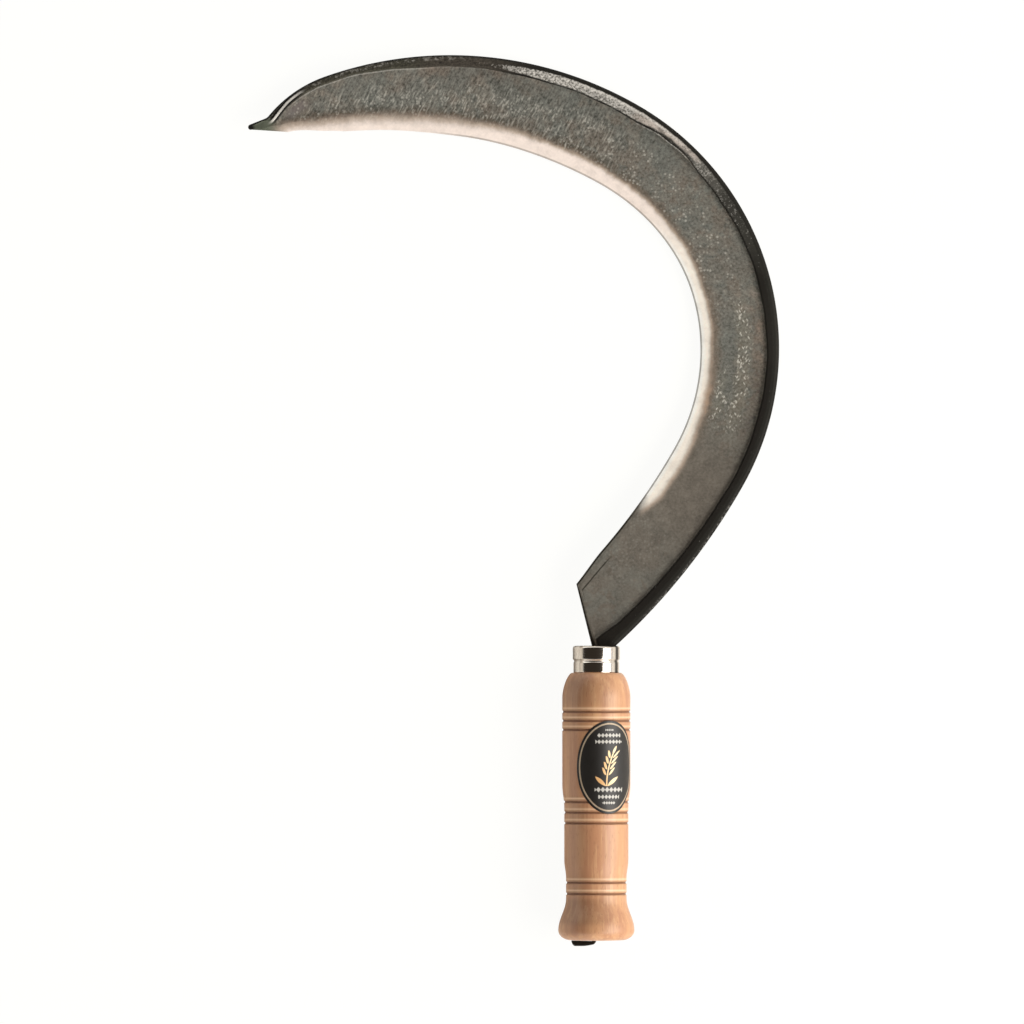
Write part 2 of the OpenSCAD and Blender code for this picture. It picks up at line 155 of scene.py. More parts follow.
def heading(degrees):
    """The unit vector at an angle from +X."""
    a = np.radians(degrees)
    return np.stack([np.cos(a), np.sin(a)], -1)


def left_of(degrees):
    """The unit vector a quarter turn to the left of an angle."""
    return heading(degrees + 90.0)


def swept(knots, x):
    """A curve through knots: a cubic in each span, whose slope at a knot is that between its neighbours."""
    k = np.array(knots, float)
    n = len(k)
    before, after = np.maximum(np.arange(n) - 1, 0), np.minimum(np.arange(n) + 1, n - 1)
    slope = (k[after, 1] - k[before, 1]) / (k[after, 0] - k[before, 0])
    i = np.clip(np.searchsorted(k[:, 0], x, side="left") - 1, 0, n - 2)
    h = k[i + 1, 0] - k[i, 0]
    t = np.clip((x - k[i, 0]) / h, 0, 1)
    return (
        (2 * t**3 - 3 * t**2 + 1) * k[i, 1]
        + (t**3 - 2 * t**2 + t) * h * slope[i]
        + (3 * t**2 - 2 * t**3) * k[i + 1, 1]
        + (t**3 - t**2) * h * slope[i + 1]
    )


def eased(knots, x):
    """A curve that is level at each knot: half a cosine wave in each span."""
    k = np.array(knots, float)
    i = np.clip(np.searchsorted(k[:, 0], x, side="left") - 1, 0, len(k) - 2)
    t = np.clip((x - k[i, 0]) / (k[i + 1, 0] - k[i, 0]), 0, 1)
    return mix(k[i, 1], k[i + 1, 1], (1 - np.cos(np.pi * t)) / 2)


def waver(x, waves):
    """A hand-made unevenness: the sum of sine waves, each given as length, height and phase."""
    return sum(high * np.sin(2 * np.pi * np.asarray(x) / length + phase) for length, high, phase in waves)


def back_at(f):
    """Points on the back and headings at shares f of its length, along tangent arcs that turn left."""
    s = np.atleast_1d(f) * BACK_LEN
    point = np.tile(np.array([NECK_OFFSET + NECK_W / 2, MOUTH_Y]), (len(s), 1))
    turn = np.full(len(s), BACK_HEADING)
    left = s.copy()
    for n, (r, angle) in enumerate(BACK_ARCS):
        full = math.radians(angle) * r
        run = np.maximum(left, 0) if n == len(BACK_ARCS) - 1 else np.clip(left, 0, full)
        ahead = turn + np.degrees(run / r)
        point += r * (left_of(turn) - left_of(ahead))
        turn = ahead
        left = left - full
    return point, turn


def wood_r(y):
    """Radius of the turned wood at a height above the butt: a quarter ellipse below the flare's widest ring and
    above the shoulder, and eased knots between."""
    y = np.asarray(y, float)
    low = np.clip((FLARE_Y - y) / FLARE_Y, 0, 1)
    high = np.clip((y - SHOULDER_Y) / SHOULDER_LEN, 0, 1)
    butt = BUTT_R + (FLARE_R - BUTT_R) * np.sqrt(1 - low**2)
    shoulder = SHOULDER_R + (BARREL_R - SHOULDER_R) * (1 - high**SHOULDER_FULLNESS) ** (1 / SHOULDER_FULLNESS)
    return np.where(y < FLARE_Y, butt, np.where(y > SHOULDER_Y, shoulder, eased(WOOD_KNOTS, y)))


def grooved_r(y):
    """The wood's radius less its turned grooves: each is a round cut of one radius, sunk to one depth."""
    r = wood_r(y)
    for at in GROOVES:
        off = np.clip(np.abs(y - at) / GROOVE_R, 0, 1)
        centre = wood_r(at) + GROOVE_R - GROOVE_DEPTH
        r = np.minimum(r, np.where(off < 1, centre - GROOVE_R * np.sqrt(1 - off**2), r))
    return r


def ferrule_r(v):
    """Outer radius of the ferrule at a height above the shoulder: a step from skirt to body with a rolled groove."""
    t = np.clip((v - ROLL_Y) / ROLL_W + 0.5, 0, 1)
    return mix(SKIRT_R, FERRULE_R, (1 - np.cos(np.pi * t)) / 2) - ROLL_DEPTH * (1 - np.cos(2 * np.pi * t)) / 2


def placed(points):
    """Points in mm above the butt, moved to the part's frame in metres."""
    return (points - np.array([0, HANDLE_LEN / 2, 0])) * MM


def make_piece(name, points, faces, material, values=None, sharp=40.0):
    """A closed mesh object at the origin. Its faces are turned outwards if the volume they hold is negative."""
    a, b, c = points[faces[:, 0]], points[faces[:, 1]], points[faces[:, 2]]
    d = points[faces[:, 3]]
    volume = (np.cross(a, b) * c).sum() + (np.cross(a, c) * d).sum()
    if volume < 0:
        faces = faces[:, ::-1]
    mesh = bpy.data.meshes.new(name)
    rows = [tuple(f) if f[2] != f[3] else tuple(f[:3]) for f in faces.tolist()]
    rows = [tuple(dict.fromkeys(f)) for f in rows]
    mesh.from_pydata(points, [], rows)
    mesh.polygons.foreach_set("use_smooth", np.ones(len(mesh.polygons), bool))
    mesh.set_sharp_from_angle(angle=math.radians(sharp))
    for key, value in (values or {}).items():
        layer = mesh.attributes.new(key, "FLOAT", "POINT")
        layer.data.foreach_set("value", np.ascontiguousarray(value, np.float32))
    mesh.materials.append(material)
    mesh.validate()
    piece = bpy.data.objects.new(name, mesh)
    bpy.context.collection.objects.link(piece)
    return piece


def tube_faces(rows, columns):
    """Quads between neighbouring rings of a grid that closes on itself round each ring, with a fan at each end to
    a pole that follows the grid's points."""
    i, j = np.meshgrid(np.arange(rows - 1), np.arange(columns), indexing="ij")
    k = (j + 1) % columns
    quads = np.stack([i * columns + j, i * columns + k, (i + 1) * columns + k, (i + 1) * columns + j], -1)
    ring = np.arange(columns)
    after = (ring + 1) % columns
    first, last = rows * columns, rows * columns + 1
    top = (rows - 1) * columns
    start = np.stack([np.full(columns, first), after, ring, ring], -1)
    end = np.stack([np.full(columns, last), top + ring, top + after, top + after], -1)
    return np.concatenate([quads.reshape(-1, 4), start, end])


def with_poles(grid):
    """The grid's points in rows, then the mean of its first ring and of its last."""
    rows, columns, _ = grid.shape
    return np.concatenate([grid.reshape(-1, 3), grid[:1].mean(1), grid[-1:].mean(1)])


def revolve(profile, sides):
    """A profile of radius and height, carried round the handle's axis: x = r sin a, z = r cos a."""
    a = np.arange(sides) * 2 * np.pi / sides
    r, y = profile[:, 0:1], profile[:, 1:2]
    return np.stack([r * np.sin(a), y + 0 * a, r * np.cos(a)], -1)


class Num:
    """A number that varies over a surface: one socket, with Python's arithmetic."""

    def __init__(self, graph, socket):
        self.graph = graph
        self.socket = socket

    def __add__(self, other):
        return self.graph.maths("ADD", self, other)

    def __sub__(self, other):
        return self.graph.maths("SUBTRACT", self, other)

    def __mul__(self, other):
        return self.graph.maths("MULTIPLY", self, other)

    def __truediv__(self, other):
        return self.graph.maths("DIVIDE", self, other)

    def __radd__(self, other):
        return self.graph.maths("ADD", other, self)

    def __rsub__(self, other):
        return self.graph.maths("SUBTRACT", other, self)

    def __rmul__(self, other):
        return self.graph.maths("MULTIPLY", other, self)


class Graph:
    """A shader's nodes. Colours and vectors are passed as sockets, and numbers as Num."""

    def __init__(self, owner):
        owner.use_nodes = True
        self.tree = owner.node_tree
        self.tree.nodes.clear()

    def node(self, kind, settings=None, inputs=None):
        """Adds a node of a kind, with its settings set first and then the values or links of its sockets."""
        made = self.tree.nodes.new(kind)
        for key, value in (settings or {}).items():
            setattr(made, key, value)
        for key, value in (inputs or {}).items():
            value = value.socket if isinstance(value, Num) else value
            if isinstance(value, bpy.types.NodeSocket):
                self.tree.links.new(made.inputs[key], value)
            else:
                made.inputs[key].default_value = value
        return made

    def maths(self, operation, a, b):
        return Num(self, self.node("ShaderNodeMath", {"operation": operation}, {0: a, 1: b}).outputs[0])

    def greater(self, a, b):
        return self.maths("MAXIMUM", a, b)

    def lesser(self, a, b):
        return self.maths("MINIMUM", a, b)

    def size_of(self, a):
        return self.maths("ABSOLUTE", a, 0.0)

    def value(self, name):
        """One of the piece's own numbers."""
        return Num(self, self.node("ShaderNodeAttribute", {"attribute_name": name}).outputs["Fac"])

    def place(self):
        """Object coordinates in mm."""
        at = self.node("ShaderNodeTexCoord").outputs["Object"]
        return self.node("ShaderNodeVectorMath", {"operation": "SCALE"}, {0: at, "Scale": 1000.0}).outputs[0]

    def vector(self, x, y, z):
        return self.node("ShaderNodeCombineXYZ", None, {0: x, 1: y, 2: z}).outputs[0]

    def parts(self, vector):
        made = self.node("ShaderNodeSeparateXYZ", None, {0: vector})
        return [Num(self, made.outputs[k]) for k in range(3)]

    def turned(self, vector, angles, scale):
        """A vector turned about X, Y and Z by degrees and then scaled."""
        turn = self.node(
            "ShaderNodeMapping",
            {"vector_type": "POINT"},
            {"Vector": vector, "Rotation": tuple(math.radians(a) for a in angles)},
        ).outputs[0]
        return self.node("ShaderNodeMapping", {"vector_type": "POINT"}, {"Vector": turn, "Scale": scale}).outputs[0]

    def noise(self, vector, length, detail=2.0, roughness=0.5, distortion=0.0):
        """Cloudy noise whose main lumps are length apart, about 0.5 in the mean."""
        inputs = {"Vector": vector, "Scale": 1 / length, "Detail": detail, "Roughness": roughness}
        inputs["Distortion"] = distortion
        return Num(self, self.node("ShaderNodeTexNoise", None, inputs).outputs[0])

    def spots(self, vector, length, share, size=0.35):
        """Spots in a share of cells that are length apart: 1 inside, falling to 0 at the rim."""
        made = self.node("ShaderNodeTexVoronoi", None, {"Vector": vector, "Scale": 1 / length})
        pick = self.parts(made.outputs["Color"])[0]
        inside = self.ramp(Num(self, made.outputs["Distance"]), size, size * 0.5)
        return inside * self.ramp(pick, 1 - share, 1 - share * 0.6)

    def ramp(self, value, start, end, low=0.0, high=1.0):
        """Goes smoothly from low to high as value goes from start to end."""
        inputs = {0: value, 1: start, 2: end, 3: low, 4: high}
        return Num(self, self.node("ShaderNodeMapRange", {"interpolation_type": "SMOOTHSTEP"}, inputs).outputs[0])

    def band(self, value, start, end, soft):
        """1 between start and end, with soft sides."""
        return self.ramp(value, start - soft, start + soft) * self.ramp(value, end + soft, end - soft)

    def blend(self, share, a, b):
        """Colour a where share is 0 and colour b where it is 1."""
        inputs = {0: share, 6: a, 7: b}
        return self.node("ShaderNodeMix", {"data_type": "RGBA"}, inputs).outputs[2]

    def shade(self, colour, amount):
        """A colour made lighter or darker by a factor."""
        return self.node("ShaderNodeVectorMath", {"operation": "SCALE"}, {0: colour, "Scale": amount}).outputs[0]

    def bump(self, height, distance, normal=None):
        inputs = {"Height": height, "Distance": distance, "Strength": 1.0}
        if normal is not None:
            inputs["Normal"] = normal
        return self.node("ShaderNodeBump", None, inputs).outputs[0]

    def surface(self, inputs):
        shader = self.node("ShaderNodeBsdfPrincipled", None, inputs)
        self.node("ShaderNodeOutputMaterial", None, {0: shader.outputs[0]})


def new_material(name):
    material = bpy.data.materials.new(name)
    return material, Graph(material)


# Colours of the steel
PLATE_GREY = rgb(117, 115, 107)
PLATE_MAUVE = rgb(115, 106, 96)
PLATE_BLUE = rgb(105, 109, 104)
PLATE_OLIVE = rgb(132, 128, 114)
PLATE_BROWN = rgb(112, 99, 86)
PLATE_BLUSH = rgb(150, 133, 119)
SPECK_PALE = rgb(216, 213, 202)
SCALE_DARK = rgb(62, 59, 51)
RIB_BLACK = rgb(17, 16, 12)
RIB_INNER = rgb(22, 19, 14)
RIB_OUTER = rgb(30, 29, 24)
RIB_GREY = rgb(51, 50, 45)
RIB_BROWN = rgb(68, 63, 56)
RIB_OLIVE = rgb(64, 62, 53)
BRIGHT_WEAR_AND_HIGHLIGHT = rgb(222, 219, 212)
WORN_DARK = rgb(108, 106, 100)
SMOOTH_WEAR_AND_HIGHLIGHT = rgb(186, 177, 168)
GROUND = rgb(255, 248, 236)
GROUND_WHITE = rgb(255, 255, 250)
GROUND_PINK = rgb(247, 234, 225)
GROUND_TAN = rgb(238, 217, 198)
GROUND_FEATHER = rgb(142, 123, 107)
GROUND_STAIN = rgb(206, 170, 140)
EDGE_LINE = rgb(38, 36, 30)
UNDER_GREY = rgb(88, 86, 80)
TIP_MAUVE = rgb(122, 114, 112)
BEAK_OLIVE = rgb(90, 95, 82)


def steel():
    """Forged steel: scaled plate, black rib painted bright and pitted round the crown as a highlight with some wear,
    hammer strokes and a ground bevel.
    """
    material, g = new_material("forged_steel")
    at = g.place()
    along, inward = g.value("along"), g.value("inward")
    above, on_rib = g.value("above_bevel"), g.value("on_rib")
    from_edge, under = g.value("from_edge"), g.value("under")
    ragged = g.noise(at, 4.0, 3.0, 0.65) - 0.5
    lumps = g.noise(at, 7.0, 3.0, 0.6)
    clouds = g.noise(at, 24.0, 3.0, 0.55)
    grain = g.noise(at, 1.3, 3.0, 0.7) - 0.5

    # Plate: grey scale, brown past the heel and above the bevel, with blue-grey drifts
    middle = g.band(along, 136, 200, 16)
    cool = g.ramp(g.noise(g.turned(at, (0, 0, 50), (1, 1, 1)), 20.0, 3.0, 0.6), 0.45, 0.62) * g.ramp(along, 200, 240)
    cool = g.greater(cool * 0.6, g.band(inward + ragged * 8, 21, 29, 3.0) * middle * 0.6)
    warm = g.greater(g.band(along, 52, 118, 24) * 0.6, g.band(inward + ragged * 8, 7, 13, 3.0) * middle * 0.8)
    tint = g.noise(g.turned(at, (0, 0, 30), (1, 1, 1)), 5.5, 3.0, 0.6)
    warm = g.greater(warm, g.greater(g.ramp(clouds, 0.42, 0.6) * 0.5, g.ramp(tint, 0.53, 0.63) * 0.6))
    warm = g.greater(warm, g.band(along + ragged * 20, 385, 438, 10) * g.ramp(inward + ragged * 14, 19, 9) * 0.9)
    cool = g.greater(cool, g.ramp(tint, 0.46, 0.37) * g.ramp(along, 110, 150) * 0.5)
    plate = g.blend(cool, g.blend(warm, PLATE_GREY, PLATE_MAUVE), PLATE_BLUE)
    plate = g.blend(g.ramp(above + ragged * 6, 5.5, 1.0) * g.ramp(along, 80, 130) * 0.45, plate, PLATE_BROWN)

    # Marks: bright dashes in the bow, specks round it and slanting strokes of the hammer to the tip
    hammered = g.ramp(along, 272, 348)
    open_plate = g.ramp(on_rib + ragged * 7, -3.5, -11.0)
    struck = g.noise(g.turned(at, (0, 0, -63), (0.28, 1, 1)), 0.95, 1.0, 0.5)
    strokes = g.ramp(struck, 0.5, 0.82) * hammered * (0.4 + 0.6 * g.ramp(lumps, 0.38, 0.58))
    dots = g.spots(at, 1.75, 0.8, 0.45)
    speckle = dots * (g.ramp(along, 170, 235) * (0.2 + 0.8 * g.ramp(lumps, 0.44, 0.6)) + g.band(along, 22, 66, 12) * 0.17)
    dash = g.spots(g.turned(at, (0, 0, -62), (0.42, 1, 1)), 1.1, 0.7, 0.42)
    dash = g.greater(dash, g.spots(g.turned(at, (0, 0, 60), (0.42, 1, 1)), 1.15, 0.45, 0.4))
    upper_drift = g.band(inward + ragged * 9, 14.5, 21, 2.0) * g.band(along + ragged * 20, 128, 202, 10)
    lower_drift = g.band(inward + ragged * 9, 24.5, 29.5, 2.0) * g.band(along + ragged * 20, 130, 160, 8)
    drift = g.greater(upper_drift, lower_drift)
    marks = g.greater(g.greater(speckle * 0.4, strokes * 0.5) * open_plate, dash * drift * 0.7)
    plate = g.blend(drift * 0.3, plate, PLATE_OLIVE)
    blush = g.band(inward + ragged * 5, 8.5, 13.5, 1.8) * g.band(along + ragged * 12, 168, 204, 8)
    plate = g.blend(blush * (0.12 + 0.3 * g.ramp(tint, 0.45, 0.6)), plate, PLATE_BLUSH)
    tone = 1.0 + grain * (1.0 + 1.1 * g.ramp(along, 100, 150)) + (lumps - 0.5) * g.ramp(along, 140, 100, 0.5, 0.7)
    tone = (tone + (struck - 0.5) * hammered * 1.3) * (0.9 + 0.12 * g.ramp(along, 130, 190) + 0.12 * g.ramp(along, 395, 440))
    # Painted light: the plate is lighter just inside the rib, most in the bow and near the heel, against the rib's
    # shadow.
    painted_light_by_rib = g.greater(g.band(along, 165, 262, 15), g.band(along, 12, 58, 12))
    tone = tone * (1.0 + g.ramp(on_rib, -6.0, -1.5) * (0.06 + 0.12 * painted_light_by_rib))
    plate = g.shade(plate, tone)
    shade_band = g.band(above + ragged * 4, 0.6, 5.0, 1.6) * g.ramp(along, 225, 330) * g.ramp(lumps, 0.34, 0.56)
    plate = g.blend(shade_band * 0.4, plate, SCALE_DARK)
    plate = g.blend(marks, plate, SPECK_PALE)
    blot = g.band(inward + ragged * 3, 5, 10, 1.5) * g.band(along + ragged * 8, 500, 512, 4)
    plate = g.blend(blot * 0.7, plate, g.blend(dots * 0.5, TIP_MAUVE, SPECK_PALE))

    rib_edge = on_rib - 1.2 * g.band(along, 281, 310, 9)

    # Rib: black scale, specked in the bow, then painted smooth and pitted bright round the crown as a highlight with
    # some wear, olive to the tip
    crown_wear_and_highlight = g.ramp(along, 205, 250) * 0.18 + g.band(along + ragged * 8, 271, 282, 4) * 0.14 + g.ramp(along, 312, 334) * 0.82
    crown_wear_and_highlight = crown_wear_and_highlight * g.ramp(along, 410, 366)
    pocked = g.noise(at, 1.0, 2.0, 0.65)
    crest = g.ramp(inward + ragged - 0.9 * g.ramp(along, 366, 400), 2.0, 2.8)
    crest = crest * g.ramp(rib_edge + ragged * 0.8 - 1.2 * g.ramp(along, 370, 400), 0.1, 0.9)
    cover = g.ramp(pocked + crown_wear_and_highlight * 0.75, 0.68, 0.86) * crest
    smooth = crest * g.band(along + ragged * 6, 281, 320, 4) * g.ramp(inward + ragged * 1.8 - 2.6 * g.ramp(along, 296, 324), 5.2, 4.1)
    rib = g.blend(g.band(inward + ragged, 0.9, 3.3, 0.4), RIB_INNER, RIB_OUTER)
    rib = g.blend(g.ramp(inward, 0.9, 0.4), rib, RIB_BLACK)
    rib = g.blend(g.ramp(along, 205, 240) * crest + g.band(along, 165, 205, 10) * 0.18, rib, RIB_GREY)
    patch = crest * g.ramp(along, 252, 278) * g.ramp(along, 288, 281)
    rib = g.blend(patch * (0.5 + 0.4 * g.ramp(lumps, 0.4, 0.6)), rib, WORN_DARK)
    far = g.ramp(along, 375, 405) * g.ramp(inward, 0.6, 1.4)
    rib = g.blend(far, rib, g.blend(g.ramp(along, 425, 445), RIB_BROWN, RIB_OLIVE))
    rib = g.blend(cover * (0.35 + 0.6 * g.ramp(crown_wear_and_highlight, 0.2, 0.8)), rib, g.blend(g.ramp(pocked, 0.66, 0.33), BRIGHT_WEAR_AND_HIGHLIGHT, WORN_DARK))
    rib = g.blend(smooth * g.ramp(lumps + pocked, 0.82, 1.1, 0.4, 1.0), rib, SMOOTH_WEAR_AND_HIGHLIGHT)
    # Painted highlight: a bright line along the crest round the crown.
    shine = g.band(inward + ragged * 0.8, 2.4, 3.6, 0.5) * g.band(along, 294, 352, 10) * crest
    rib = g.blend(shine * g.ramp(pocked, 0.3, 0.5, 0.3, 0.65), rib, BRIGHT_WEAR_AND_HIGHLIGHT)
    # Painted shade: the inner part of the rib is darkened round the crown.
    rib = g.shade(rib, 1.0 - 0.22 * g.band(inward, 4.2, 6.4, 0.8) * g.band(along, 320, 352, 12))
    # Pale flecks along the rib's outer edge near the root: a rough edge with painted glints.
    edge_chips_and_glints = g.ramp(g.noise(at, 1.5, 2.0, 0.6), 0.5, 0.66) * g.ramp(inward, 1.6, 0.5) * g.band(along, 18, 95, 5) * 0.15
    tip_specks = g.ramp(g.noise(at, 1.9, 2.0, 0.6), 0.47, 0.62) * g.band(inward, 0.7, 2.6, 0.5) * g.ramp(along, 400, 430) * 0.2
    rib = g.blend(g.greater(edge_chips_and_glints, tip_specks), rib, BRIGHT_WEAR_AND_HIGHLIGHT)
    streak = g.noise(g.vector(along * 0.15, inward, 0.0), 0.7, 2.0) - 0.5
    rib = g.shade(rib, 1.0 + grain * 0.9 + (streak * 1.2 + (pocked - 0.5) * 2.2) * far)
    is_rib = g.ramp(rib_edge + ragged * 0.5, -0.15, 0.35)
    colour = g.blend(is_rib, plate, rib)
    # Painted shadow along the rib's foot round the crown; then painted highlight lines, one just inside the foot and
    # one down the ridge into the beak, which lies on a black band.
    foot_shade = g.band(rib_edge + ragged * 0.6, -0.1, 0.45, 0.25) * g.band(along, 275, 395, 10)
    colour = g.blend(foot_shade * (0.35 + 0.65 * g.ramp(lumps, 0.42, 0.55)), colour, RIB_BLACK)
    foot_highlight = g.greater(g.band(along, 283, 318, 6) * g.ramp(pocked, 0.42, 0.58) * 0.7, g.band(along, 432, 505, 7) * 0.28)
    foot_highlight = foot_highlight * g.band(rib_edge + ragged * 0.4, -0.55, -0.15, 0.2)
    centre = 1.9 + 1.2 * g.ramp(along, 503, 520)
    tip_ridge = g.size_of(inward - centre)
    near_tip = g.ramp(along, 495, 504) * g.ramp(along, 523, 519.5)
    colour = g.blend(g.ramp(tip_ridge, 2.0, 1.2) * near_tip, colour, RIB_BLACK)
    tip_highlight = g.ramp(tip_ridge, 0.75, 0.3) * near_tip
    colour = g.blend(g.greater(foot_highlight, tip_highlight), colour, BRIGHT_WEAR_AND_HIGHLIGHT)
    beak = g.ramp(along, 518.5, 521)
    beak_shade = g.greater(g.ramp(inward + ragged * 0.6, 1.3, 0.6), g.ramp(along, 526, 529))
    colour = g.blend(beak, colour, g.blend(beak_shade, BEAK_OLIVE, RIB_BLACK))

    # Bevel: ground bright, with a soft brown feather where the stone ran out
    start = g.ramp(along + from_edge * 1.5 + ragged * 6, 62, 76) * (1 - beak)
    lower = above + ragged * g.ramp(along, 230, 310, 1.2, 2.2) + (struck - 0.5) * hammered * 1.2 + 0.8 * g.ramp(along, 480, 516)
    run_in = 1.6 + 1.6 * g.ramp(along, 150, 85) + 0.7 * g.ramp(along, 300, 390)
    run_out = 2.2 + 1.6 * g.band(along, 115, 175, 22) + 4.2 * g.ramp(along, 340, 450)
    depth = g.ramp((run_in - lower) / (run_in + run_out), 0.0, 1.0)
    ground = depth * start
    feather = g.ramp(lower + ragged * 1.5, 3.6, 0.0) * start
    bright = g.blend(g.ramp(from_edge, 3.2, 1.0), GROUND, GROUND_WHITE)
    bright = g.blend(g.ramp(along, 225, 285), bright, GROUND_PINK)
    bright = g.blend(g.ramp(depth, 0.85, 0.3) * g.ramp(along, 380, 430, 1.0, 0.65), bright, GROUND_TAN)
    bright = g.shade(g.blend(g.ramp(lumps, 0.5, 0.7) * 0.12, bright, GROUND_FEATHER), 1.0 + grain * 0.25 + (tint - 0.5) * 0.3)
    colour = g.blend(feather * (0.18 + 0.3 * g.ramp(lumps, 0.4, 0.6)), colour, GROUND_FEATHER)
    colour = g.blend(ground, colour, bright)
    stain = g.band(along + ragged * 8, 128, 150, 6) * g.band(lower + ragged, -2.8, 0.8, 1.0)
    colour = g.blend(stain * (0.08 + 0.22 * g.ramp(lumps, 0.4, 0.6)), colour, GROUND_STAIN)
    lap = g.size_of(from_edge - (3.75 + 0.055 * along) + ragged * 0.5)
    lap = g.ramp(lap, 0.5, 0.2) * g.ramp(along, 34, 26) * g.ramp(along, 5, 8)
    neck_side = g.ramp(from_edge, 1.9, 1.1) * g.ramp(along, 7.2, 6.6)
    heel_line = g.greater(g.ramp(from_edge, 1.2, 0.7) * g.ramp(along, 72, 50), neck_side)
    edge_line = g.ramp(from_edge, 1.0, 0.6) * g.ramp(along, 440, 405) * g.ramp(along, 200, 320, 0.62, 0.45)
    colour = g.blend(g.greater(g.greater(lap * 0.8, heel_line * 0.95), edge_line), colour, EDGE_LINE)

    # Underside and tang
    flat = g.shade(g.blend(g.ramp(clouds, 0.42, 0.6), UNDER_GREY, SCALE_DARK), 1.0 + grain * 1.6)
    flat = g.blend(g.ramp(from_edge + ragged * 0.8, 2.2, 1.4) * start, flat, bright)
    colour = g.blend(under, colour, flat)
    tang = g.ramp(along, 1.0, -1.0)
    colour = g.blend(tang, colour, RIB_INNER)

    top_ground = ground * (1 - under)
    height = lumps * 0.12 + grain * 0.05 + marks * 0.05
    g.surface(
        {
            "Base Color": colour,
            "Metallic": 0.2 * (1 - g.greater(is_rib * (1 - cover), ground)),
            "Roughness": 0.5 + 0.12 * is_rib - 0.1 * top_ground + 0.3 * grain,
            "Specular IOR Level": 0.15,
            "Normal": g.bump(height * (1 - top_ground * 0.8), MM),
        }
    )
    return material


